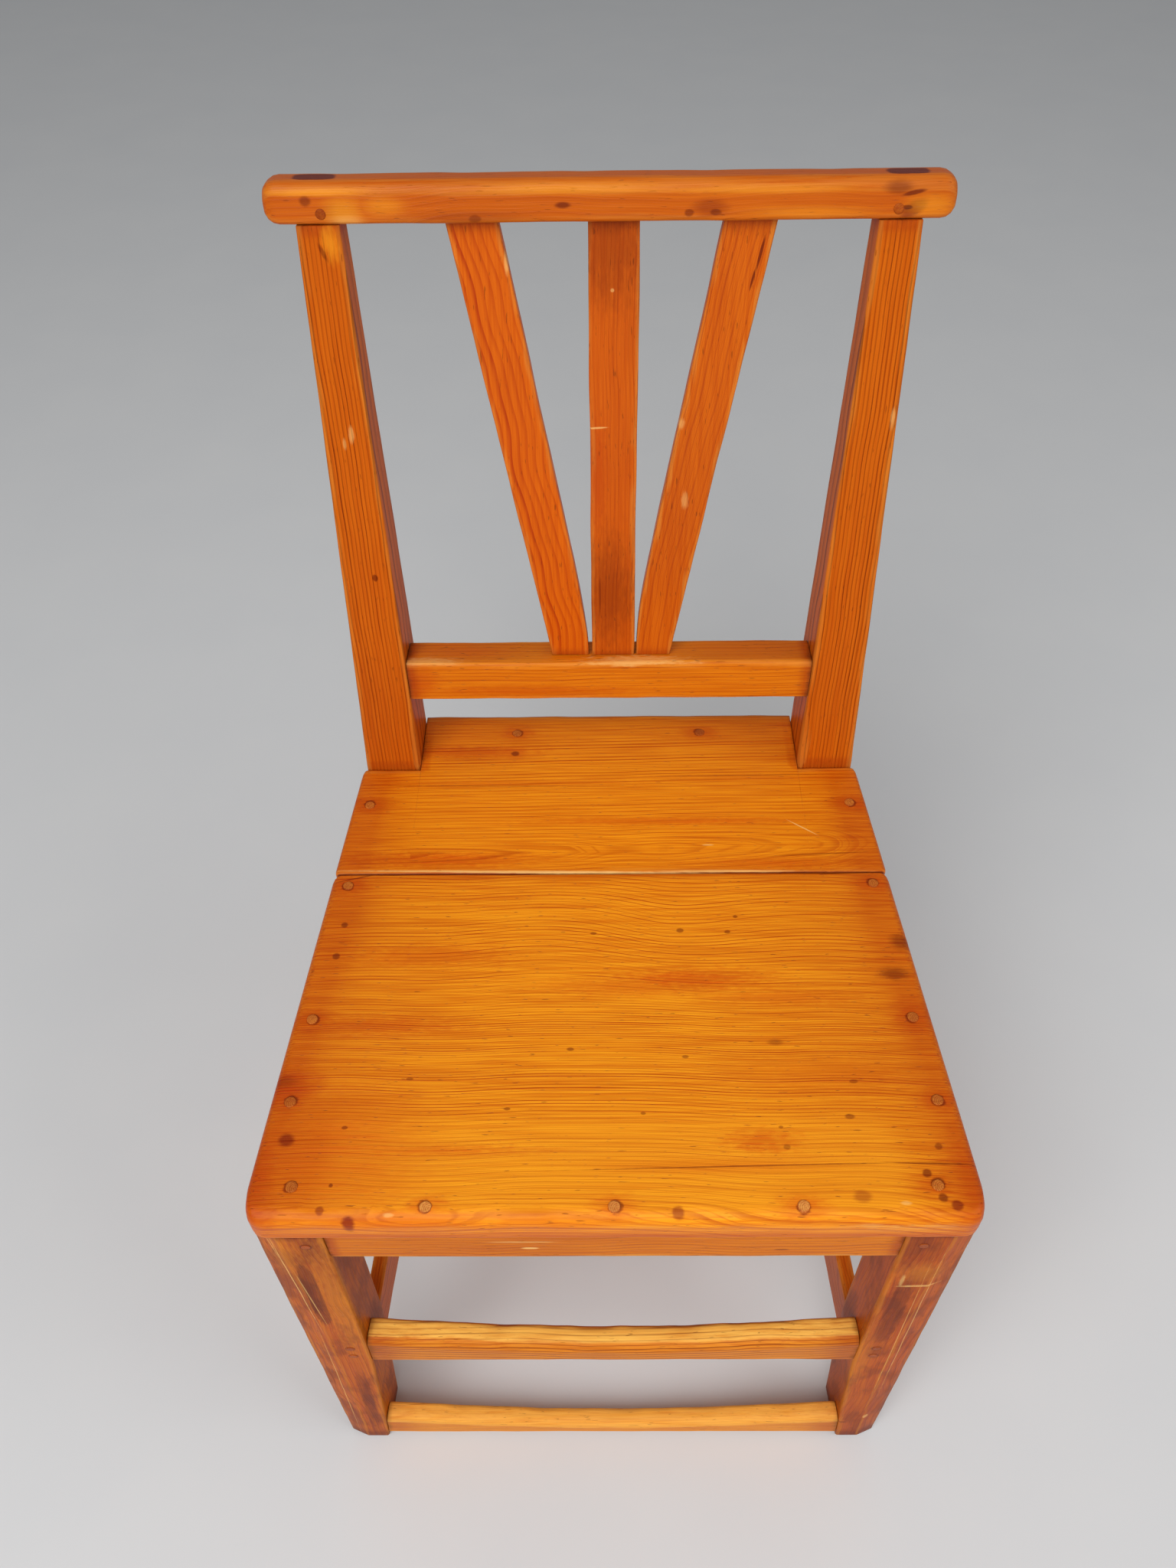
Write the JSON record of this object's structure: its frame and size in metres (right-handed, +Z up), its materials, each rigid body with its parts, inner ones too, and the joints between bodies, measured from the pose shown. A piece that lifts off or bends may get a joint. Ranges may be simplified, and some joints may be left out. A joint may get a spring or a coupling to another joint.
{
  "type": "farmhouse chair",
  "caption": "Farmhouse side chair in pegged pine joinery: plank seat, raked post back with a fan of splats, round-edged crest and stretchers between tapered legs.",
  "frame": {"origin": "on the floor, below the centre of the chair's bounding box", "axes": "+Z up, the front of the chair faces -Y, +X to the right of someone who looks at the front"},
  "size_m": [0.4286, 0.4328, 0.8369],
  "materials": {
    "seat_wood": "honey-orange waxed pine, worn satin",
    "back_wood": "red-orange waxed pine, satin",
    "rail_wood": "orange waxed pine, satin with rubbed edges",
    "apron_wood": "orange waxed pine, satin",
    "leg_wood": "red-brown waxed pine, scuffed satin",
    "stretcher_wood": "pale worn pine, matt on top",
    "peg_wood": "dark oiled end grain"
  },
  "bodies": {
    "root": {"centre_splat": "back_wood", "crest_rail": "rail_wood", "front_seat_peg_centre": "peg_wood", "front_seat_peg_left": "peg_wood", "front_seat_peg_right": "peg_wood", "front_seat_rail": "apron_wood", "left_crest_peg": "peg_wood", "left_front_leg": "leg_wood", "left_leg_peg_apron": "peg_wood", "left_leg_peg_stretcher_high": "peg_wood", "left_leg_peg_stretcher_low": "peg_wood", "left_rear_post": "back_wood", "left_seat_peg_front": "peg_wood", "left_seat_peg_leg": "peg_wood", "left_seat_peg_middle": "peg_wood", "left_seat_peg_rear": "peg_wood", "left_seat_peg_seam": "peg_wood", "left_seat_rail": "apron_wood", "left_side_stretcher": "stretcher_wood", "left_splat": "back_wood", "lower_back_rail": "rail_wood", "lower_front_stretcher": "stretcher_wood", "rear_seat_peg_left": "peg_wood", "rear_seat_peg_right": "peg_wood", "rear_seat_rail": "apron_wood", "rear_stretcher": "stretcher_wood", "right_crest_peg": "peg_wood", "right_front_leg": "leg_wood", "right_leg_peg_apron": "peg_wood", "right_leg_peg_stretcher_high": "peg_wood", "right_leg_peg_stretcher_low": "peg_wood", "right_rear_post": "back_wood", "right_seat_peg_front": "peg_wood", "right_seat_peg_leg": "peg_wood", "right_seat_peg_middle": "peg_wood", "right_seat_peg_rear": "peg_wood", "right_seat_peg_seam": "peg_wood", "right_seat_rail": "apron_wood", "right_side_stretcher": "stretcher_wood", "right_splat": "back_wood", "seat_front_board": "seat_wood", "seat_rear_board": "seat_wood", "upper_front_stretcher": "stretcher_wood"}
  },
  "joints": []
}
